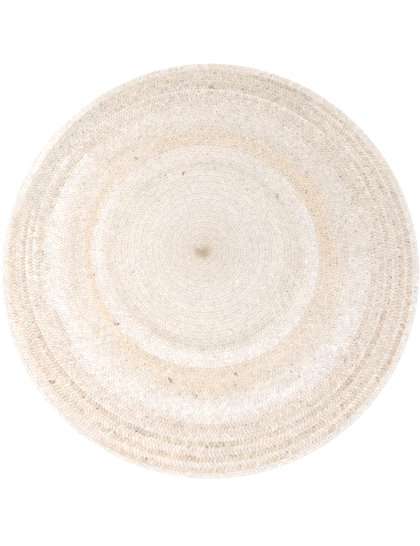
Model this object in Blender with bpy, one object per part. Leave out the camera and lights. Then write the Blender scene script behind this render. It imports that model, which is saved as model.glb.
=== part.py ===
"""A round jute rug: one flat braid wound outwards in a flat spiral and sewn edge to edge.

Lengths are in metres and +Z is up. The rug lies flat on z = 0, with the eye of the coil at the
origin. Seen from above the braid runs outwards clockwise. Its turns are raised as soft ribs with
a sunk seam between each two, they grow wider towards the rim, and they are as uneven as hand
winding leaves them. The braid's tail narrows over the last turn and ends flush at the rim.
"""

import math

import bmesh
import bpy

RUG_NAME = "round_jute_rug"
COIL_NAME = "braided_coil"

RUG_RADIUS = 0.75
BRAID_THICKNESS = 0.009
SEAM_THICKNESS = 0.0055

# The coil: turns of full width, then one last turn that narrows to the tail.
FULL_TURNS = 31
BRAID_WIDTH_AT_EYE = 0.0196
TAIL_WIDTH = 0.005
TAIL_ANGLE = math.radians(140.0)

# The rim's side face is rounded: it swells below the top edge and is drawn in at the floor.
RIM_SWELL = 0.0015
RIM_SWELL_HEIGHT = 0.003
RIM_DRAW_IN = 0.0015

# Columns of the mesh round the rug, the distance within which its first and last column are
# welded, and how far out the edge round the eye can lie.
STEPS_PER_TURN = 60
WELD_DISTANCE = 0.0001
EYE_REACH = 2.5 * BRAID_WIDTH_AT_EYE
SHARP_ANGLE = math.radians(60.0)

# Hand winding: how far the turns stand out from a true spiral. Each row has the number of
# waves round the rug, their size where they are largest, the direction of a crest, and the
# power of the radius with which they grow.
COIL_WAVES = (
    # waves, size, crest, power
    (1, 0.0116, math.radians(110.0), 0.4),
    (2, 0.0124, math.radians(135.0), 1.0),
)
RIM_WAVES = (
    # waves, size, crest, power
    (1, 0.0018, math.radians(62.0), 1.0),
    (2, 0.0056, math.radians(-72.0), 1.0),
    (3, 0.0020, math.radians(-19.0), 1.0),
)
RIM_WAVES_FROM = 0.86 * RUG_RADIUS

JUTE_COLOUR = (0.72, 0.62, 0.50, 1.0)
JUTE_ROUGHNESS = 0.95


def clear_scene():
    """Removes every object of the opened scene."""
    for old in list(bpy.data.objects):
        bpy.data.objects.remove(old, do_unlink=True)


def make_material(name, colour, roughness):
    """A matt fibre material."""
    material = bpy.data.materials.new(name)
    material.use_nodes = True
    shader = material.node_tree.nodes["Principled BSDF"]
    shader.inputs["Base Color"].default_value = colour
    shader.inputs["Roughness"].default_value = roughness
    shader.inputs["Metallic"].default_value = 0.0
    return material


def smooth_step(low, high, value):
    """Rises softly from 0 at low to 1 at high."""
    share = min(max((value - low) / (high - low), 0.0), 1.0)
    return share * share * (3.0 - 2.0 * share)


def spiral_radius(turn):
    """The spiral's radius after so many turns. A turn is a little wider than the one inside it."""
    full_radius = RUG_RADIUS - TAIL_WIDTH
    if turn > FULL_TURNS:
        return full_radius + TAIL_WIDTH * (turn - FULL_TURNS)
    widening = (full_radius / FULL_TURNS - BRAID_WIDTH_AT_EYE) / FULL_TURNS
    return BRAID_WIDTH_AT_EYE * turn + widening * turn * turn


def wave_offset(waves, radius, angle):
    """How far the waves of one table push a point outwards."""
    share = radius / RUG_RADIUS
    return sum(
        size * share**power * math.cos(count * (angle - crest))
        for count, size, crest, power in waves
    )


def uneven_radius(radius, angle):
    """The radius of a hand-wound turn: the coil's own waves, eased into the rim's."""
    rim_share = smooth_step(RIM_WAVES_FROM, RUG_RADIUS, radius)
    coil = wave_offset(COIL_WAVES, radius, angle)
    rim = wave_offset(RIM_WAVES, radius, angle)
    return radius + (1.0 - rim_share) * coil + rim_share * rim


def coil_top():
    """The ribbed upper face, as a grid wrapped into a spiral.

    Rows of the grid are half turns of radius, by turns the crest of a rib and the seam beside
    it. Columns go once round, clockwise. The last column meets the first one turn further in,
    so the two are welded, and only the eye and the rim stay open.
    """
    rows = 2 * FULL_TURNS
    grid = bmesh.new()
    bmesh.ops.create_grid(
        grid,
        x_segments=STEPS_PER_TURN,
        y_segments=rows - 1,
        size=0.5,
    )
    for vertex in grid.verts:
        column = vertex.co.x + 0.5
        row = round((vertex.co.y + 0.5) * (rows - 1)) + 1
        angle = TAIL_ANGLE - 2.0 * math.pi * column
        radius = uneven_radius(spiral_radius(row / 2.0 + column), angle)
        height = BRAID_THICKNESS if row % 2 else SEAM_THICKNESS
        vertex.co = (radius * math.cos(angle), radius * math.sin(angle), height)
    bmesh.ops.remove_doubles(grid, verts=grid.verts, dist=WELD_DISTANCE)
    return grid


def boundary_loops(mesh):
    """The open edges of the mesh, as the eye's loop and the rim's loop."""
    open_edges = [edge for edge in mesh.edges if edge.is_boundary]
    eye = [edge for edge in open_edges if edge.verts[0].co.xy.length < EYE_REACH]
    rim = [edge for edge in open_edges if edge not in eye]
    return eye, rim


def close_eye(mesh, eye_edges):
    """Fills the eye with a shallow dimple where the braid's first end is tucked in."""
    middle = mesh.verts.new((0.0, 0.0, SEAM_THICKNESS))
    for edge in eye_edges:
        mesh.faces.new((edge.verts[0], edge.verts[1], middle))


def close_rim(mesh, rim_edges):
    """Carries the rim down round its side to the floor and closes the flat underside."""
    edges = rim_edges
    for height, swell in ((RIM_SWELL_HEIGHT, RIM_SWELL), (0.0, -RIM_SWELL - RIM_DRAW_IN)):
        made = bmesh.ops.extrude_edge_only(mesh, edges=edges)["geom"]
        for vertex in (item for item in made if isinstance(item, bmesh.types.BMVert)):
            outwards = vertex.co.xy.normalized() * swell
            vertex.co = (vertex.co.x + outwards.x, vertex.co.y + outwards.y, height)
        edges = [item for item in made if isinstance(item, bmesh.types.BMEdge)]
    bmesh.ops.holes_fill(mesh, edges=edges, sides=0)


def make_rug(collection):
    """The whole rug as one closed solid."""
    solid = coil_top()
    eye_edges, rim_edges = boundary_loops(solid)
    close_eye(solid, eye_edges)
    close_rim(solid, rim_edges)
    bmesh.ops.recalc_face_normals(solid, faces=solid.faces)
    mesh = bpy.data.meshes.new(COIL_NAME)
    solid.to_mesh(mesh)
    solid.free()
    mesh.shade_smooth()
    mesh.set_sharp_from_angle(angle=SHARP_ANGLE)
    mesh.materials.append(make_material("jute", JUTE_COLOUR, JUTE_ROUGHNESS))
    rug = bpy.data.objects.new(COIL_NAME, mesh)
    collection.objects.link(rug)
    return rug


def main():
    clear_scene()
    collection = bpy.data.collections.new(RUG_NAME)
    bpy.context.scene.collection.children.link(collection)
    make_rug(collection)


main()
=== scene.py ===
"""The looks of a round jute rug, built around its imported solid.

The rug is one braid of three soft jute strands, wound outwards clockwise in a flat coil and sewn
edge to edge. Every strand is a real tube that follows the braid from the eye to the tail, so both
faces and the rim have the braid's lobes. Lengths are in metres, +Z is up, z = 0 is the floor and
the eye of the coil is the origin.

Two words are used throughout. A place along the braid is given in turns from the eye: turn 12.25
is a quarter of the way round the thirteenth turn. The clock is the part of it after the point:
0 is where the tail ends at the rim, and it runs clockwise to 1.
"""

import math

import bpy
import numpy as np
from mathutils import Euler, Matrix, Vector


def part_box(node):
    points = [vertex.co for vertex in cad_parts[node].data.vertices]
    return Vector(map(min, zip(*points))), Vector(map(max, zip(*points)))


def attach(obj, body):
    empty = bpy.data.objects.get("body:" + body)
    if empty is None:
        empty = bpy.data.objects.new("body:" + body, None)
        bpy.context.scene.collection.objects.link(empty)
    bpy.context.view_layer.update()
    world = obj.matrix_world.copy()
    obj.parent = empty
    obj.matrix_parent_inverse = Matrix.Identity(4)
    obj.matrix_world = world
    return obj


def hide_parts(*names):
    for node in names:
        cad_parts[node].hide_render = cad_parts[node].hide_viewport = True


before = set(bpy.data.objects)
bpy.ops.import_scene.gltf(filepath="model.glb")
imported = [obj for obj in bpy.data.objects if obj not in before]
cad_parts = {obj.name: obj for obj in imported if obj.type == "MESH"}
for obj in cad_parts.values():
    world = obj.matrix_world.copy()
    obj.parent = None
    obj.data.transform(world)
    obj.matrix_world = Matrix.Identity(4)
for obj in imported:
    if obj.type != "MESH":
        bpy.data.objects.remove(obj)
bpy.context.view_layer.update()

COIL_NODE = "braided_coil"
ROOT_BODY = "root"

# ---------------------------------------------------------------------------------------------
# The coil, as in the solid
# ---------------------------------------------------------------------------------------------
RUG_RADIUS = 0.75
RUG_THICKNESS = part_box(COIL_NODE)[1][2]
FULL_TURNS = 31
WIDTH_AT_EYE = 0.0196
TAIL_WIDTH = 0.005
TAIL_ANGLE = math.radians(140.0)
COIL_WAVES = (
    # waves, size, crest, power
    (1, 0.0116, math.radians(110.0), 0.4),
    (2, 0.0124, math.radians(135.0), 1.0),
)
RIM_WAVES = (
    # waves, size, crest, power
    (1, 0.0018, math.radians(62.0), 1.0),
    (2, 0.0056, math.radians(-72.0), 1.0),
    (3, 0.0020, math.radians(-19.0), 1.0),
)
RIM_WAVES_FROM = 0.86 * RUG_RADIUS

# ---------------------------------------------------------------------------------------------
# The braid
# ---------------------------------------------------------------------------------------------
STRANDS = 3
FIRST_TURN = -0.82  # the first end is curled up inside the eye
EYE_OVERLAP = -0.18  # its inner edge reaches a little past the eye's middle, which closes the eye
# A narrow braid is thinner, by this power of its width. The first end is never thinner than a
# braid of this share of the width at the eye.
THINNING = 0.5
NARROWEST_IN_EYE = 0.65
# How much wider than in the solid the braid is at each turn, so that its lobes fill the rim
# where the tail narrows.
RIM_FULLNESS = (
    # turn, width
    (29.995, 0.0),
    (30.0, 0.0030),
    (30.05, 0.0015),
    (30.07, 0.0),
    (30.72, 0.0),
    (30.80, 0.0035),
    (31.0, 0.0030),
)
LOBE_LENGTHS = ((0.0, 0.0108), (21.0, 0.0110), (26.0, 0.0116), (30.0, 0.0120), (31.0, 0.0112))
LENGTH_UNEVENNESS = 0.05  # of the lobes, over stretches of a hand's length
LENGTH_KNOTS = 600
LENGTH_SAMPLES = 40000  # by which the braid's length is measured
SECTIONS_PER_CYCLE = 12  # a strand's cycle is as many lobes long as there are strands
STRAND_PROFILE = (
    # aside, above: the section of a strand, in its half widths and half depths
    (1.00, 0.12),
    (0.55, 0.92),
    (-0.55, 0.92),
    (-1.00, 0.12),
    (-0.60, -0.90),
    (0.60, -0.90),
)
SWING = 0.84  # how far a strand swings to each side, in half widths of the braid
# How long a strand stays at the braid's edge before it turns back: below 0 it turns at once.
SQUARENESS = ((0.0, 0.14), (12.0, 0.10), (15.0, 0.02), (20.0, -0.06), (29.7, -0.06), (30.0, 0.12))
# A strand's width, in widths of the braid at each turn.
STRAND_WIDTHS = (
    (0.0, 0.46),
    (1.0, 0.38),
    (2.0, 0.33),
    (29.7, 0.33),
    (30.0, 0.44),
    (30.3, 0.52),
    (31.0, 0.66),
)
# A strand's depth, and how far it rises and dips, in thicknesses of the braid at each turn.
STRAND_DEPTHS = ((0.0, 0.58), (14.0, 0.58), (25.0, 0.56), (29.0, 0.56), (31.0, 0.66))
RISES = ((0.0, 0.08), (12.0, 0.10), (23.0, 0.11), (25.0, 0.15), (29.0, 0.155), (30.0, 0.07))
# How much later in its cycle than midway outwards a strand is highest, in degrees at each turn.
LAGS = ((0.0, 20.0), (12.0, 20.0), (20.0, 25.0))
# How unevenly a strand swings, rises and is thick, from one half cycle to the next. The spare
# half cycles are for the strands that start later in their cycle.
SWING_UNEVENNESS = 0.05
RISE_UNEVENNESS = 0.10
STRAND_UNEVENNESS = 0.04
SPARE_HALF_CYCLES = 8
PIECE_TURNS = (FIRST_TURN, 12.0, 17.0, 21.0, 25.0, 28.0, 31.0)  # where it is cut into pieces
SEED = 7


def smooth_step(low, high, value):
    """Rises softly from 0 at low to 1 at high."""
    share = np.clip((value - low) / (high - low), 0.0, 1.0)
    return share * share * (3.0 - 2.0 * share)


def spiral_radius(turn):
    """The radius of the seam or crest that lies so many turns from the eye."""
    full_radius = RUG_RADIUS - TAIL_WIDTH
    widening = (full_radius / FULL_TURNS - WIDTH_AT_EYE) / FULL_TURNS
    inner = WIDTH_AT_EYE * turn + widening * turn * turn
    outer = full_radius + TAIL_WIDTH * (turn - FULL_TURNS)
    return np.where(turn > FULL_TURNS, outer, inner)


def wave_offset(waves, radius, angle):
    """How far the waves of one table push a point outwards."""
    share = np.maximum(radius, 0.0) / RUG_RADIUS
    return sum(
        size * share**power * np.cos(count * (angle - crest))
        for count, size, crest, power in waves
    )


def uneven_radius(radius, angle):
    """The radius of a hand-wound turn."""
    rim_share = smooth_step(RIM_WAVES_FROM, RUG_RADIUS, radius)
    coil = wave_offset(COIL_WAVES, radius, angle)
    rim = wave_offset(RIM_WAVES, radius, angle)
    return radius + (1.0 - rim_share) * coil + rim_share * rim


def angle_at(turn):
    """The direction of a place along the braid, seen from the eye."""
    return TAIL_ANGLE - 2.0 * math.pi * turn


def on_the_coil(turn, across):
    """Points of the braid: its place in turns, and across it from -1, inside, to 1, outside."""
    inside = np.maximum(turn, EYE_OVERLAP)
    outside = turn + 1.0
    outwards = (across + 1.0) / 2.0
    radius = spiral_radius(inside + (outside - inside) * outwards)
    radius = radius + from_table(RIM_FULLNESS, turn) * outwards
    angle = angle_at(turn)
    radius = uneven_radius(radius, angle)
    return radius * np.cos(angle), radius * np.sin(angle)


def braid_width(turn):
    """The width of the braid at a place along it."""
    return np.hypot(*(a - b for a, b in zip(on_the_coil(turn, 1.0), on_the_coil(turn, -1.0))))


def braid_thickness(turn):
    """The braid is thinner where it is narrower: at its first end and at the tail."""
    narrowest = np.where(turn < 1.0, NARROWEST_IN_EYE, 0.0)
    narrowing = np.clip(braid_width(turn) / WIDTH_AT_EYE, narrowest, 1.0)
    return RUG_THICKNESS * narrowing**THINNING


def from_table(table, turn):
    """A value of the braid at each place along it, from a table of turns and values."""
    turns, values = zip(*table)
    return np.interp(turn, turns, values)


def lag(turn):
    """The phase by which a strand's rise and dip trail behind its swing."""
    return np.radians(from_table(LAGS, turn))


def cycle_places():
    """The places of all sections along the braid, a twelfth of a cycle apart."""
    random = np.random.default_rng(SEED + 1)
    turns = np.linspace(FIRST_TURN, FULL_TURNS, LENGTH_SAMPLES)
    x, y = on_the_coil(turns, 0.0)
    steps = np.hypot(np.diff(x), np.diff(y))
    knots = random.normal(1.0, LENGTH_UNEVENNESS, LENGTH_KNOTS)
    unevenness = np.interp(np.cumsum(steps), np.linspace(0.0, steps.sum(), LENGTH_KNOTS), knots)
    lobes = from_table(LOBE_LENGTHS, turns[1:]) * unevenness
    cycles = np.concatenate(([0.0], np.cumsum(steps / (STRANDS * lobes))))
    count = int(cycles[-1] * SECTIONS_PER_CYCLE)
    sections = np.arange(count + 1)
    return np.interp(sections / SECTIONS_PER_CYCLE, cycles, turns)


# ---------------------------------------------------------------------------------------------
# The yarn's colours, as they look in daylight, 0 to 255, and the tones of painted shade
# ---------------------------------------------------------------------------------------------
LOTS = {
    "bark": (140, 106, 76),
    "umber": (176, 156, 134),
    "walnut": (204, 186, 164),
    "milk": (244, 237, 230),
    "rust": (220, 192, 164),
    "tan": (225, 209, 188),
    "sand": (234, 223, 211),
    "cream": (240, 232, 223),
    "ivory": (242, 235, 229),
    "bleached": (246, 243, 240),
    "pearl": (241, 236, 232),
    "peach": (241, 230, 218),
    "apricot": (237, 217, 192),
    "taupe": (240, 230, 221),
    "ash": (228, 221, 211),
    "slate": (202, 195, 185),
    # The last three are no yarn: they are the tones of painted shade on hidden sides, in creases
    # and along seams.
    "painted_side_shade": (206, 202, 199),
    "crease": (178, 173, 166),
    "seam": (170, 160, 144),
}
BANDS = (
    # turn, lot: the braid's main colour, which changes evenly from row to row
    (-1.0, "walnut"),
    (0.1, "walnut"),
    (0.45, "tan"),
    (1.4, "taupe"),
    (4.0, "cream"),
    (7.0, "milk"),
    (12.0, "milk"),
    (15.2, "cream"),
    (16.2, "ivory"),
    (17.6, "ivory"),
    (18.2, "peach"),
    (20.0, "peach"),
    (21.4, "cream"),
    (22.6, "ivory"),
    (24.2, "ivory"),
    (25.0, "taupe"),
    (29.5, "taupe"),
    (30.0, "ivory"),
    (30.7, "pearl"),
)
STRETCHES = (
    # first turn, last turn, from clock, to clock, lot, share
    (5.6, 7.8, 0.00, 1.00, "ivory", 0.6),
    (14.4, 15.4, 0.00, 0.30, "ash", 0.4),
    (14.4, 15.4, 0.34, 0.42, "sand", 0.4),
    (14.2, 15.3, 0.50, 0.70, "ash", 0.5),
    (14.2, 15.2, 0.70, 0.74, "tan", 0.5),
    (14.2, 15.2, 0.74, 0.92, "sand", 0.4),
    (15.6, 17.6, 0.46, 1.00, "bleached", 0.4),
    (16.6, 17.8, 0.54, 0.72, "bleached", 0.8),
    (17.0, 18.0, 0.32, 0.54, "bleached", 0.6),
    (17.9, 20.4, 0.07, 0.42, "apricot", 0.30),
    (18.2, 19.9, 0.07, 0.40, "apricot", 0.25),
    (18.4, 19.4, 0.28, 0.40, "apricot", 0.25),
    (17.9, 19.2, 0.57, 0.77, "apricot", 0.30),
    (17.4, 18.6, 0.78, 1.00, "apricot", 0.40),
    (18.9, 20.1, 0.76, 1.00, "ivory", 0.7),
    (18.4, 19.4, 0.00, 0.05, "cream", 0.5),
    (19.9, 20.6, 0.16, 0.21, "tan", 0.5),
    (20.4, 21.4, 0.16, 0.35, "peach", 0.5),
    (20.1, 21.6, 0.59, 0.70, "apricot", 0.35),
    (20.2, 20.8, 0.84, 0.93, "tan", 0.4),
    (20.7, 22.0, 0.70, 1.00, "ivory", 0.6),
    (22.2, 24.9, 0.40, 1.00, "bleached", 0.3),
    (23.0, 24.1, 0.44, 1.00, "bleached", 0.6),
    (20.4, 24.9, 0.00, 0.40, "sand", 0.45),
    (24.3, 24.8, 0.66, 0.71, "tan", 0.3),
    (24.0, 24.7, 0.79, 0.83, "tan", 0.4),
    (24.0, 25.0, 0.93, 1.00, "tan", 0.4),
    (24.3, 25.6, 0.25, 0.34, "tan", 0.4),
    (25.0, 26.4, 0.00, 0.36, "sand", 0.5),
    (25.0, 25.8, 0.00, 0.03, "tan", 0.4),
    (25.0, 25.8, 0.08, 0.11, "tan", 0.4),
    (25.1, 25.5, 0.38, 0.46, "tan", 0.3),
    (25.0, 25.8, 0.46, 0.69, "tan", 0.2),
    (26.0, 26.5, 0.07, 0.24, "slate", 0.3),
    (26.0, 26.5, 0.24, 0.62, "tan", 0.2),
    (26.0, 28.8, 0.93, 1.00, "ash", 0.6),
    (26.9, 30.4, 0.04, 0.235, "ash", 0.6),
    (26.9, 30.4, 0.04, 0.235, "tan", 0.3),
    (27.0, 27.9, 0.15, 0.26, "slate", 0.3),
    (27.0, 30.0, 0.00, 0.04, "ash", 0.6),
    (28.9, 30.0, 0.92, 1.00, "bleached", 0.8),
    (29.9, 31.0, 0.04, 0.34, "sand", 0.6),
    (29.9, 31.0, 0.36, 1.00, "pearl", 0.9),
)
LINES = (
    # turn, row (0 inner, 1 outer), from clock, to clock, lot, share
    (24, 1, 0.88, 0.93, "tan", 0.40),
    (25, 0, 0.87, 0.93, "tan", 0.40),
    (25, 1, 0.72, 0.86, "ivory", 0.60),
    (25, 1, 0.86, 1.00, "bleached", 0.60),
    (26, 0, 0.87, 0.93, "tan", 0.40),
    (26, 1, 0.00, 0.86, "ivory", 0.60),
    (26, 1, 0.86, 0.93, "bleached", 0.60),
    (27, 0, 0.15, 0.34, "tan", 0.75),
    (27, 0, 0.34, 0.44, "tan", 0.60),
    (27, 0, 0.44, 0.52, "rust", 0.50),
    (27, 0, 0.52, 0.68, "tan", 0.60),
    (27, 0, 0.68, 0.71, "umber", 0.35),
    (27, 0, 0.72, 0.83, "rust", 0.40),
    (27, 0, 0.83, 0.87, "tan", 0.40),
    (27, 0, 0.87, 0.93, "rust", 0.50),
    (27, 1, 0.88, 0.92, "bleached", 0.50),
    (28, 0, 0.78, 0.86, "rust", 0.15),
    (28, 1, 0.23, 0.26, "umber", 0.25),
    (28, 1, 0.26, 0.39, "tan", 0.55),
    (28, 1, 0.39, 0.46, "rust", 0.30),
    (28, 1, 0.46, 0.72, "tan", 0.50),
    (28, 1, 0.64, 0.68, "rust", 0.30),
    (28, 1, 0.72, 0.82, "tan", 0.40),
    (28, 1, 0.86, 0.93, "tan", 0.40),
    (29, 0, 0.24, 0.72, "ivory", 0.70),
    (29, 0, 0.83, 0.925, "rust", 0.40),
    (29, 1, 0.18, 0.24, "umber", 0.25),
    (29, 1, 0.24, 0.40, "tan", 0.60),
    (29, 1, 0.40, 0.44, "rust", 0.35),
    (29, 1, 0.44, 0.49, "rust", 0.55),
    (29, 1, 0.49, 0.55, "rust", 0.40),
    (29, 1, 0.57, 0.72, "rust", 0.35),
    (29, 1, 0.72, 0.93, "ivory", 0.90),
)
NUBS = (
    # turn, row, clock: the darkest bits of bark
    (13, 1, 0.10),
    (15, 0, 0.285),
    (17, 1, 0.78),
    (19, 0, 0.04),
    (19, 0, 0.303),
    (19, 0, 0.60),
    (20, 0, 0.68),
    (27, 0, 0.145),
    (28, 1, 0.775),
)
NUB_REACH = 0.0065  # to each side, along the braid
NUB_DEPTH = 0.5  # the share of bark in their colour
INNER_ROW = 0.25  # the middles of the braid's two rows, in widths of the braid
OUTER_ROW = 0.75
CLOCK_FADE = 0.008  # how softly a stretch or a line ends
TURN_FADE = 0.25  # how softly a stretch's inner and outer edges end, in turns
PAINTED_LIGHT_SIDE = 0.75  # the clock towards which the rug is painted a little lighter, as painted light from that side, and how much
PAINTED_LIGHT_STRENGTH = 0.017
# How much lighter or darker one lobe is than the next, at each turn.
LOBE_CONTRASTS = ((0.0, 0.015), (2.0, 0.008), (20.0, 0.010), (26.0, 0.016), (30.0, 0.008))
YARN_CONTRAST = 0.010  # the same for stretches of so many lobes of a row
YARN_REACH = 9
WARMTH_CONTRAST = 0.002  # the same for how warm the colour is, as red, green and blue
WARMTH_REACH = 5
WARMTH_TILT = (0.6, 0.0, -1.0)
GRAIN_CONTRAST = 0.02  # the same from fibre to fibre
LOBE_LEAD = 0.06  # how much before its strand crosses the middle a lobe begins, in half cycles
# The share of the lobes that have a darker bit of bark in them, how unevenly they lie, and over
# how many lobes. Then how dark such a bit is, how many sections it lies past the lobe's start
# (the last number isn't reached), and how evenly it colours the sides of its strand.
NUB_SHARE = 0.01
NUB_PATCHINESS = 1.0
NUB_PATCH = 31
NUB_SHADES = (0.15, 0.8)
NUB_PLACES = (1, 3)
NUB_EVENNESS = 0.5
# How unevenly a stretch's or a line's lot is mixed in from lobe to lobe, and at most how much.
MIXING = 0.35
MOST_MIXED = 1.8
GRAIN_MIXING = 0.5  # the same from fibre to fibre
MOST_GRAIN = 2.0
# How much painted shade each side of a strand takes, as it is hidden from light, in the order of
# its profile.
HIDDEN = (0.20, 0.0, 0.0, 0.20, 0.40, 0.40)
# The painted shade in the creases between the lobes: how deep it is at each turn, how low the
# strand lies where it begins and where it is full (from -1 to 1), how much of it each side of a
# strand takes, how unevenly it lies, and how much deeper the yarn's own colour shows in it.
CREASES = (
    # turn, depth
    (0.0, 0.10),
    (1.5, 0.05),
    (8.0, 0.06),
    (14.0, 0.13),
    (16.5, 0.17),
    (17.5, 0.27),
    (21.0, 0.27),
    (22.5, 0.20),
    (25.0, 0.38),
    (29.0, 0.38),
    (30.0, 0.10),
)
CREASE_LOW = -0.6
CREASE_HIGH = 0.3
CREASE_SIDES = (0.6, 0.6, 0.6, 0.6, 1.0, 1.0)
CREASE_UNEVENNESS = 1.2
CREASE_POWER = 6.0
BODY_SHARE = 0.8  # how much of a stretch's or a line's lot shows outside the creases
# How deep the painted shade is along the seams and along the middle of the braid, at each turn.
SEAM_SHADES = ((0.0, 0.15), (12.0, 0.11), (17.0, 0.03), (25.0, 0.0))
JUTE_EXPOSURE = (0.912, 0.891, 0.880)  # red, green, blue


def to_linear(colour):
    """Light intensities of a daylight colour given as 0 to 1, by the sRGB curve."""
    colour = np.clip(colour, 0.0, 1.0)
    return np.where(colour <= 0.04045, colour / 12.92, ((colour + 0.055) / 1.055) ** 2.4)


def lot(name):
    return np.array(LOTS[name]) / 255.0


def in_range(value, low, high, fade):
    """1 inside the range, falling softly to 0 on both sides of it."""
    return smooth_step(low - fade, low + fade, value) * (
        1.0 - smooth_step(high - fade, high + fade, value)
    )


def lay(colours, share, name):
    """Lays a share of one lot's colour over the colours."""
    return colours + share[:, None] * (lot(name) - colours)


def row_colours(turn, outer, random):
    """The braid's colour at each place along it, in its inner or its outer row.

    Two colours are given: that of its band alone, and that with the stretches, lines and nubs.
    """
    mixed = np.clip(random.normal(1.0, MIXING, len(turn)), 0.0, MOST_MIXED)
    whole = np.floor(turn)
    clock = turn - whole
    row_turn = whole + np.where(outer, OUTER_ROW, INNER_ROW)
    band_turns = [turn_of for turn_of, _ in BANDS]
    band_colours = np.array([lot(name) for _, name in BANDS])
    plain = np.stack(
        [np.interp(row_turn, band_turns, band_colours[:, c]) for c in range(3)], axis=1
    )
    colours = plain
    for first, last, start, end, name, share in STRETCHES:
        there = in_range(row_turn, first, last, TURN_FADE)
        there = there * in_range(clock, start, end, CLOCK_FADE)
        colours = lay(colours, share * there * mixed, name)
    for line_turn, row, start, end, name, share in LINES:
        there = (whole == line_turn) & (outer == bool(row))
        there = there * in_range(clock, start, end, CLOCK_FADE)
        colours = lay(colours, share * there * mixed, name)
    # Painted light: a little lighter towards one side of the rug and darker opposite, more so
    # outwards.
    painted_light = PAINTED_LIGHT_STRENGTH * (whole / FULL_TURNS + 0.5) * np.cos(2.0 * math.pi * (clock - PAINTED_LIGHT_SIDE))
    for nub_turn, row, nub_clock in NUBS:
        away = np.abs(turn - nub_turn - nub_clock) * 2.0 * math.pi * spiral_radius(nub_turn)
        there = (outer == bool(row)) & (away < NUB_REACH)
        colours = lay(colours, NUB_DEPTH * there, "bark")
    return plain * (1.0 + painted_light[:, None]), colours * (1.0 + painted_light[:, None])


def drifting(count, reach, random):
    """A random value that changes slowly from one lobe to the next."""
    steps = random.normal(0.0, 1.0, count + reach - 1)
    return np.convolve(steps, np.full(reach, reach**-0.5), "valid")


def lobe_colours(turn, outer, random):
    """row_colours with the unevenness of hand-spun yarn from one lobe to the next."""
    count = len(turn)
    plain, mixed = row_colours(turn, outer, random)
    shade = random.normal(0.0, 1.0, count) * from_table(LOBE_CONTRASTS, turn)
    shade = 1.0 + shade + YARN_CONTRAST * drifting(count, YARN_REACH, random)
    tilt = np.array(WARMTH_TILT) * WARMTH_CONTRAST
    warmth = drifting(count, WARMTH_REACH, random)[:, None] * tilt
    return plain * shade[:, None] + warmth, mixed * shade[:, None] + warmth


# ---------------------------------------------------------------------------------------------
# Meshes
# ---------------------------------------------------------------------------------------------
def new_mesh(name, points, quads, caps=()):
    """A mesh of four-sided faces and a few many-sided caps."""
    mesh = bpy.data.meshes.new(name)
    mesh.vertices.add(len(points))
    mesh.vertices.foreach_set("co", np.ascontiguousarray(points, np.float32).ravel())
    corners = np.concatenate([quads.ravel(), *(np.asarray(cap) for cap in caps)])
    sizes = np.concatenate([np.full(len(quads), 4), [len(cap) for cap in caps]])
    starts = np.concatenate(([0], np.cumsum(sizes)[:-1]))
    mesh.loops.add(len(corners))
    mesh.loops.foreach_set("vertex_index", corners.astype(np.int32))
    mesh.polygons.add(len(sizes))
    mesh.polygons.foreach_set("loop_start", starts.astype(np.int32))
    mesh.update(calc_edges=True)
    mesh.validate()
    mesh.shade_smooth()
    return mesh


def tube_faces(sections, sides, first=0):
    """The faces of a tube whose points are numbered section by section."""
    section = np.arange(sections - 1)[:, None] * sides
    side = np.arange(sides)[None, :]
    following = (side + 1) % sides
    faces = np.stack(
        [section + side, section + following, section + sides + following, section + sides + side],
        axis=-1,
    )
    return first + faces.reshape(-1, 4)


def tube_caps(sections, sides, first=0):
    """The two end faces of the same tube."""
    start = first + np.arange(sides)[::-1]
    end = first + (sections - 1) * sides + np.arange(sides)
    return [start, end]


def tube_points(path, width, depth, profile):
    """The points of a tube round a path. Width and depth are those of its whole section."""
    tangent = np.gradient(path, axis=0)
    tangent /= np.linalg.norm(tangent, axis=1, keepdims=True)
    aside = np.cross(tangent, (0.0, 0.0, 1.0))
    aside /= np.linalg.norm(aside, axis=1, keepdims=True)
    above = np.cross(aside, tangent)
    shares_aside, shares_above = np.array(profile).T
    offset_aside = shares_aside[None, :, None] * (aside * width[:, None] / 2.0)[:, None, :]
    offset_above = shares_above[None, :, None] * (above * depth[:, None] / 2.0)[:, None, :]
    return path[:, None, :] + offset_aside + offset_above


def add_piece(name, mesh, material):
    """A piece of the rug, which rides on its one body and takes its finish from a slot."""
    mesh.materials.append(material)
    piece = bpy.data.objects.new(name, mesh)
    bpy.context.scene.collection.objects.link(piece)
    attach(piece, ROOT_BODY)
    return piece


# ---------------------------------------------------------------------------------------------
# Materials
# ---------------------------------------------------------------------------------------------
FIBRE_SCALE = (130.0, 1500.0, 1.0)  # along and round the strand, in a metre
SLUB_SCALE = (200.0, 700.0, 1.0)
FIBRE_SHADE = (0.93, 1.05)
SLUB_SHADE = (0.86, 1.12)
FIBRE_DETAIL = 3.0
SLUB_DETAIL = 1.0
NOISE_ROUGHNESS = 0.6
NOISE_SPAN = (0.3, 0.7)  # where nearly all of a noise lies
JUTE_ROUGHNESS = (0.95, 0.78)  # in the dips between the fibres, and on their crests
RELIEF_STRENGTH = 0.6
RELIEF_HEIGHT = 0.0006
SPECKLE_SPAN = (0.35, 0.65)


def new_material(name):
    material = bpy.data.materials.new(name)
    material.use_nodes = True
    return material, material.node_tree.nodes, material.node_tree.links


def stretched_noise(nodes, links, source, scale, detail):
    """A noise that is drawn out along the strand."""
    stretch = nodes.new("ShaderNodeMapping")
    stretch.inputs["Scale"].default_value = scale
    links.new(source, stretch.inputs["Vector"])
    noise = nodes.new("ShaderNodeTexNoise")
    noise.inputs["Scale"].default_value = 1.0
    noise.inputs["Detail"].default_value = detail
    noise.inputs["Roughness"].default_value = NOISE_ROUGHNESS
    links.new(stretch.outputs["Vector"], noise.inputs["Vector"])
    return noise.outputs["Fac"]


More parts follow.
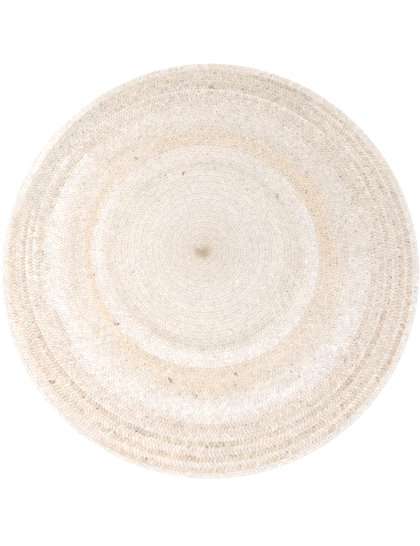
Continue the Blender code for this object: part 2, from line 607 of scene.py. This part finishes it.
def map_range(nodes, links, source, from_range, to_range):
    """A value, carried over from one range to another."""
    mapped = nodes.new("ShaderNodeMapRange")
    mapped.inputs["From Min"].default_value, mapped.inputs["From Max"].default_value = from_range
    mapped.inputs["To Min"].default_value, mapped.inputs["To Max"].default_value = to_range
    links.new(source, mapped.inputs["Value"])
    return mapped.outputs["Result"]


def jute_material():
    """Soft jute: the yarn's own colour with fine fibres and slubs that run along the strand."""
    material, nodes, links = new_material("jute")
    shader = nodes["Principled BSDF"]
    shader.inputs["Specular IOR Level"].default_value = 0.25
    shader.inputs["Sheen Weight"].default_value = 0.15
    shader.inputs["Sheen Roughness"].default_value = 0.6

    yarn = nodes.new("ShaderNodeVertexColor")
    yarn.layer_name = "yarn_colour"
    along = nodes.new("ShaderNodeUVMap")
    along.uv_map = "fibre"
    fibres = stretched_noise(nodes, links, along.outputs["UV"], FIBRE_SCALE, FIBRE_DETAIL)
    slubs = stretched_noise(nodes, links, along.outputs["UV"], SLUB_SCALE, SLUB_DETAIL)

    colour = yarn.outputs["Color"]
    for noise, shades in ((fibres, FIBRE_SHADE), (slubs, SLUB_SHADE)):
        tint = nodes.new("ShaderNodeVectorMath")
        tint.operation = "SCALE"
        links.new(colour, tint.inputs[0])
        links.new(map_range(nodes, links, noise, NOISE_SPAN, shades), tint.inputs["Scale"])
        colour = tint.outputs["Vector"]
    links.new(colour, shader.inputs["Base Color"])

    dryness = map_range(nodes, links, fibres, (0.0, 1.0), JUTE_ROUGHNESS)
    links.new(dryness, shader.inputs["Roughness"])

    relief = nodes.new("ShaderNodeBump")
    relief.inputs["Strength"].default_value = RELIEF_STRENGTH
    relief.inputs["Distance"].default_value = RELIEF_HEIGHT
    links.new(fibres, relief.inputs["Height"])
    links.new(relief.outputs["Normal"], shader.inputs["Normal"])
    return material


def speckled_material(name, daylight, spread, scale, roughness):
    """A matt fibre material with small changes of shade, for thread and inner fibre."""
    material, nodes, links = new_material(name)
    shader = nodes["Principled BSDF"]
    shader.inputs["Roughness"].default_value = roughness
    shader.inputs["Specular IOR Level"].default_value = 0.2
    noise = nodes.new("ShaderNodeTexNoise")
    noise.inputs["Scale"].default_value = scale
    noise.inputs["Detail"].default_value = 2.0
    place = nodes.new("ShaderNodeTexCoord")
    links.new(place.outputs["Object"], noise.inputs["Vector"])
    ramp = nodes.new("ShaderNodeValToRGB")
    factors = (1.0 - spread, 1.0 + spread)
    for stop, factor, position in zip(ramp.color_ramp.elements, factors, SPECKLE_SPAN):
        stop.color = (*to_linear(np.array(daylight) / 255.0 * factor), 1.0)
        stop.position = position
    links.new(noise.outputs["Fac"], ramp.inputs["Fac"])
    links.new(ramp.outputs["Color"], shader.inputs["Base Color"])
    return material


# ---------------------------------------------------------------------------------------------
# The braid's pieces
# ---------------------------------------------------------------------------------------------
UV_GAP = 0.10  # of a row of the bake map, left free between rows
UV_END_GAP = 0.002  # of the map's width, left free at both ends of a row
SIDE_WIDTH = 0.0038  # of one of the sides of a strand, on both maps
STRAND_APART = 0.1  # on the fibre map, so that the strands don't share their fibres


def strand_paths(turns, random):
    """For each strand its path, its phase, and the width and depth of its section."""
    thickness = braid_thickness(turns)
    width = braid_width(turns)
    squareness = from_table(SQUARENESS, turns)
    rise = from_table(RISES, turns)
    depth = from_table(STRAND_DEPTHS, turns)
    breadth = from_table(STRAND_WIDTHS, turns)
    cycle = np.arange(len(turns)) / SECTIONS_PER_CYCLE
    strands = []
    for number in range(STRANDS):
        phase = 2.0 * math.pi * (cycle + number / STRANDS)
        half_cycles = 2 * len(turns) // SECTIONS_PER_CYCLE + SPARE_HALF_CYCLES
        looseness = random.normal(0.0, 1.0, (3, half_cycles))
        where = phase / math.pi
        swing_noise, rise_noise, fat_noise = (
            np.interp(where, np.arange(half_cycles), row) for row in looseness
        )
        across = SWING * (np.sin(phase) + squareness * np.sin(3.0 * phase))
        x, y = on_the_coil(turns, across * (1.0 + SWING_UNEVENNESS * swing_noise))
        lift = 2.0 * phase - lag(turns)
        height = 0.5 + rise * np.sin(lift) * (1.0 + RISE_UNEVENNESS * rise_noise)
        path = np.stack([x, y, height * thickness], axis=1)
        fat = 1.0 + STRAND_UNEVENNESS * fat_noise
        strands.append((path, phase, breadth * width * fat, depth * thickness * fat))
    return strands


def strand_colours(turns, phase, random):
    """The colour of each point of one strand: lobe after lobe, with dark nubs, and with painted
    shade in the creases, along the seams and on its hidden sides.
    """
    lobe = np.floor(phase / math.pi + LOBE_LEAD).astype(int)
    first = lobe.min()
    count = lobe.max() - first + 1
    starts = np.searchsorted(lobe, np.arange(first, first + count))
    ends = np.searchsorted(lobe, np.arange(first, first + count), side="right")
    middles = turns[np.minimum((starts + ends) // 2, len(turns) - 1)]
    outer = (np.arange(first, first + count) % 2) == 0
    plain, mixed = (part[lobe - first][:, None, :] for part in lobe_colours(middles, outer, random))

    points = (len(turns), len(STRAND_PROFILE))
    grain = np.clip(random.normal(1.0, GRAIN_MIXING, points), 0.0, MOST_GRAIN)[:, :, None]
    own_colour = ((plain + grain * (mixed - plain)) / lot("cream")) ** CREASE_POWER
    colours = plain + BODY_SHARE * grain * (mixed - plain)
    colours = colours * (1.0 + GRAIN_CONTRAST * random.normal(0.0, 1.0, points)[:, :, None])

    patches = np.exp(NUB_PATCHINESS * drifting(count, NUB_PATCH, random) - 0.5 * NUB_PATCHINESS**2)
    depth = random.uniform(*NUB_SHADES, count) * (random.random(count) < NUB_SHARE * patches)
    spot = np.minimum(starts + random.integers(*NUB_PLACES, count), len(turns) - 1)
    nubs = np.zeros(len(turns))
    nubs[spot] = depth
    nubs = nubs[:, None] * random.random(points) ** NUB_EVENNESS
    colours = colours + nubs[:, :, None] * (lot("umber") - colours)

    # Painted shade in the creases between the lobes.
    uneven = random.lognormal(-0.5 * CREASE_UNEVENNESS**2, CREASE_UNEVENNESS, points)
    low_down = smooth_step(CREASE_LOW, CREASE_HIGH, -np.sin(2.0 * phase - lag(turns)))
    crease = (from_table(CREASES, turns) * low_down)[:, None] * uneven * np.array(CREASE_SIDES)
    crease = np.minimum(crease, 1.0)[:, :, None]
    colours = colours * (1.0 - crease + crease * own_colour * lot("crease"))
    # Painted shade along the rows' borders: 1 at the seams and at the braid's middle, 0 halfway
    # between them.
    row_border = (2.0 * np.abs(np.sin(phase)) - 1.0) ** 2
    seam = (from_table(SEAM_SHADES, turns) * row_border)[:, None, None]
    colours = colours * (1.0 - seam + seam * lot("seam"))
    # Painted shade on the strands' sides and undersides, where they lie hidden from light.
    hidden = np.array(HIDDEN)[None, :, None]
    return colours * (1.0 - hidden + hidden * lot("painted_side_shade"))


def coil_pieces(material):
    """The whole braid as closed strand tubes, in pieces of a few turns each."""
    random = np.random.default_rng(SEED)
    turns = cycle_places()
    strands = strand_paths(turns, random)
    sides = len(STRAND_PROFILE)
    pieces = []
    strand_colouring = [strand_colours(turns, phase, random) for _, phase, _, _ in strands]
    rings = [tube_points(path, width, depth, STRAND_PROFILE) for path, _, width, depth in strands]
    steps = [np.linalg.norm(np.diff(path, axis=0), axis=1) for path, *_ in strands]
    lengths = [np.concatenate(([0.0], np.cumsum(step))) for step in steps]
    for low, high in zip(PIECE_TURNS[:-1], PIECE_TURNS[1:]):
        start = int(np.searchsorted(turns, low))
        end = min(int(np.searchsorted(turns, high)) + 1, len(turns))
        sections = end - start
        points, quads, caps, colours = [], [], [], []
        for number in range(STRANDS):
            first = number * sections * sides
            points.append(rings[number][start:end].reshape(-1, 3))
            quads.append(tube_faces(sections, sides, first))
            caps.extend(tube_caps(sections, sides, first))
            colours.append(strand_colouring[number][start:end].reshape(-1, 3))
        name = f"braid_turns_{max(int(low), 0) + 1}_to_{int(high)}"
        mesh = new_mesh(name, np.concatenate(points), np.concatenate(quads), caps)
        paint(mesh, np.concatenate(colours))
        along = [length[start:end] - length[start] for length in lengths]
        lay_out(mesh, sections, sides, along)
        piece = add_piece(name, mesh, material)
        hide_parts(COIL_NODE)
        pieces.append(piece)
    return pieces


def paint(mesh, daylight):
    """Stores the yarn's colour at each point."""
    colours = np.ones((len(daylight), 4), np.float32)
    colours[:, :3] = to_linear(daylight) * JUTE_EXPOSURE
    layer = mesh.color_attributes.new("yarn_colour", "FLOAT_COLOR", "POINT")
    layer.data.foreach_set("color", colours.ravel())


def lay_out(mesh, sections, sides, along):
    """Two UV maps: one in metres along and round the strand, and one for baking, in rows."""
    faces_along = sections - 1
    section = np.tile(np.repeat(np.arange(faces_along), sides), STRANDS)
    side = np.tile(np.arange(sides), faces_along * STRANDS)
    strand = np.repeat(np.arange(STRANDS), faces_along * sides)
    corner_along = np.array((0, 0, 1, 1))
    corner_side = np.array((0, 1, 1, 0))

    length = np.stack(along)
    metres = length[strand[:, None], section[:, None] + corner_along[None, :]]
    around = SIDE_WIDTH * (side[:, None] + corner_side[None, :]) + STRAND_APART * strand[:, None]
    fibre = np.stack([metres, around], axis=-1).reshape(-1, 2)

    total = STRANDS * faces_along
    section_length = length[0][-1] / faces_along
    row_height = SIDE_WIDTH * sides / (1.0 - UV_GAP)
    rows = max(1, math.ceil(math.sqrt(total * section_length / row_height)))
    per_row = math.ceil(total / rows)
    place = strand * faces_along + section
    row = place // per_row
    column = place % per_row
    u = (column[:, None] + corner_along[None, :]) / per_row
    v = (side[:, None] + corner_side[None, :]) / sides
    u = UV_END_GAP + (1.0 - 2.0 * UV_END_GAP) * u
    v = (row[:, None] + UV_GAP / 2.0 + (1.0 - UV_GAP) * v) / rows
    bake = np.stack([u, v], axis=-1).reshape(-1, 2)

    caps = len(mesh.loops) - len(fibre)
    for name, places in (("fibre", fibre), ("OFBake", bake)):
        layer = mesh.uv_layers.new(name=name)
        places = np.concatenate([places, np.repeat(places[:1], caps, axis=0)])
        layer.uv.foreach_set("vector", places.astype(np.float32).ravel())


# ---------------------------------------------------------------------------------------------
# What lies in the seams
# ---------------------------------------------------------------------------------------------
GROUND_COLOUR = (226, 221, 214)
GROUND_LOW = 0.30  # the inner fibre fills the braid between these shares of its thickness
GROUND_HIGH = 0.62
GROUND_RINGS = 16
GROUND_COLUMNS = 120
GROUND_INSET = 0.006  # from the rim
THREAD_COLOUR = (234, 229, 221)
THREAD_SAMPLES = 30000  # by which the seam's length is measured
STITCH_LENGTH = 0.014
STITCH_REACH = 0.10  # half the width of the zigzag, in widths of the braid
THREAD_DIAMETER = 0.0013
THREAD_PROFILE = ((0.87, 0.5), (-0.87, 0.5), (0.0, -1.0))
THREAD_HEIGHT = 0.60  # of the braid's thickness


def ground_piece(material):
    """The braid's inner fibre, which closes the pinholes between the lobes."""
    angles = np.linspace(0.0, 2.0 * math.pi, GROUND_COLUMNS, endpoint=False)
    rim = uneven_radius(np.full(GROUND_COLUMNS, RUG_RADIUS - TAIL_WIDTH), angles) - GROUND_INSET
    shares = np.linspace(1.0 / GROUND_RINGS, 1.0, GROUND_RINGS)[:, None]
    top = np.stack([shares * rim * np.cos(angles), shares * rim * np.sin(angles)], -1)
    top = top.reshape(-1, 2)
    count = len(top)
    high = np.column_stack([top, np.full(count, GROUND_HIGH * RUG_THICKNESS)])
    low = np.column_stack([top, np.full(count, GROUND_LOW * RUG_THICKNESS)])
    ring = tube_faces(GROUND_RINGS, GROUND_COLUMNS)[:, ::-1]
    outermost = (GROUND_RINGS - 1) * GROUND_COLUMNS
    column = np.arange(GROUND_COLUMNS)
    last = outermost + column
    following = outermost + (column + 1) % GROUND_COLUMNS
    wall = np.stack([last, last + count, following + count, following], axis=1)
    quads = np.concatenate([ring, ring[:, ::-1] + count, wall])
    caps = [column, count + column[::-1]]
    mesh = new_mesh("inner_fibre", np.concatenate([high, low]), quads, caps)
    return add_piece("inner_fibre", mesh, material)


def thread_piece(material):
    """The sewing thread: a zigzag from turn to turn, deep in the seam."""
    turns = np.linspace(1.0, FULL_TURNS, THREAD_SAMPLES)
    x, y = on_the_coil(turns, -1.0)
    length = np.concatenate(([0.0], np.cumsum(np.hypot(np.diff(x), np.diff(y)))))
    count = int(length[-1] / STITCH_LENGTH) * 2
    places = np.interp(np.linspace(0.0, length[-1], count), length, turns)
    side = np.where(np.arange(count) % 2 == 0, 1.0, -1.0)
    x, y = on_the_coil(places, -1.0 + 2.0 * STITCH_REACH * side)
    height = THREAD_HEIGHT * braid_thickness(places)
    path = np.stack([x, y, height], axis=1)
    thickness = np.full(count, THREAD_DIAMETER)
    points = tube_points(path, thickness, thickness, THREAD_PROFILE).reshape(-1, 3)
    sides = len(THREAD_PROFILE)
    mesh = new_mesh("sewing_thread", points, tube_faces(count, sides), tube_caps(count, sides))
    return add_piece("sewing_thread", mesh, material)


# ---------------------------------------------------------------------------------------------
# Stage, light and camera
# ---------------------------------------------------------------------------------------------
# The camera looks almost straight down from close by, so that the eye of the coil isn't quite in
# the middle of the rug's outline. Its place is in rug radii above the rug's upper face.
CAMERA_PLACE = (0.0810, -0.3029, 1.4071)
CAMERA_TILT = (0.13996, 0.03816)
UPPER_FACE = 0.8  # the mean height of the upper face, in thicknesses of the rug
FOCAL_LENGTH_PIXELS = 300.0
PICTURE_HEIGHT_PIXELS = 546.0
SENSOR_MM = 36.0
FLOOR_SIZE = 14.0
FLOOR_DROP = 0.0005  # keeps the floor clear of the rug's underside
FLOOR_COLOUR = (0.93, 0.93, 0.93, 1.0)
SKY_COLOUR = (1.0, 1.0, 1.0, 1.0)
SKY_STRENGTH = 1.1
LAMP_PLACE = (-1.6, 1.3, 2.6)
LAMP_SIZE = 1.8
LAMP_POWER = 20.0


def make_stage():
    bpy.ops.mesh.primitive_plane_add(size=FLOOR_SIZE, location=(0.0, 0.0, -FLOOR_DROP))
    floor = bpy.context.object
    floor.name = "floor"
    material, nodes, _ = new_material("floor")
    nodes["Principled BSDF"].inputs["Base Color"].default_value = FLOOR_COLOUR
    nodes["Principled BSDF"].inputs["Roughness"].default_value = 1.0
    nodes["Principled BSDF"].inputs["Specular IOR Level"].default_value = 0.0
    floor.data.materials.append(material)


def make_light():
    world = bpy.data.worlds.new("studio")
    world.use_nodes = True
    sky = world.node_tree.nodes["Background"]
    sky.inputs["Color"].default_value = SKY_COLOUR
    sky.inputs["Strength"].default_value = SKY_STRENGTH
    bpy.context.scene.world = world
    lamp_data = bpy.data.lights.new("softbox", "AREA")
    lamp_data.shape = "DISK"
    lamp_data.size = LAMP_SIZE
    lamp_data.energy = LAMP_POWER
    lamp = bpy.data.objects.new("softbox", lamp_data)
    lamp.location = LAMP_PLACE
    direction = -lamp.location
    lamp.rotation_euler = direction.to_track_quat("-Z", "Y").to_euler()
    bpy.context.scene.collection.objects.link(lamp)
    bpy.context.scene.view_settings.view_transform = "Standard"


def make_camera():
    camera_data = bpy.data.cameras.new("camera")
    camera_data.sensor_width = SENSOR_MM
    camera_data.lens = FOCAL_LENGTH_PIXELS / PICTURE_HEIGHT_PIXELS * SENSOR_MM
    camera = bpy.data.objects.new("camera", camera_data)
    x, y, z = (share * RUG_RADIUS for share in CAMERA_PLACE)
    camera.location = (x, y, z + UPPER_FACE * RUG_THICKNESS)
    turn_x = Euler((CAMERA_TILT[0], 0.0, 0.0)).to_matrix()
    turn_y = Euler((0.0, CAMERA_TILT[1], 0.0)).to_matrix()
    camera.rotation_euler = (turn_x @ turn_y).to_euler()
    bpy.context.scene.collection.objects.link(camera)
    bpy.context.scene.camera = camera


make_camera()
make_light()
make_stage()
braid = coil_pieces(jute_material())
thread_look = speckled_material("thread", THREAD_COLOUR, spread=0.06, scale=300.0, roughness=0.8)
thread = thread_piece(thread_look)
fibre_look = speckled_material(
    "inner_fibre", GROUND_COLOUR, spread=0.08, scale=260.0, roughness=0.95
)
ground = ground_piece(fibre_look)
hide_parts(COIL_NODE)
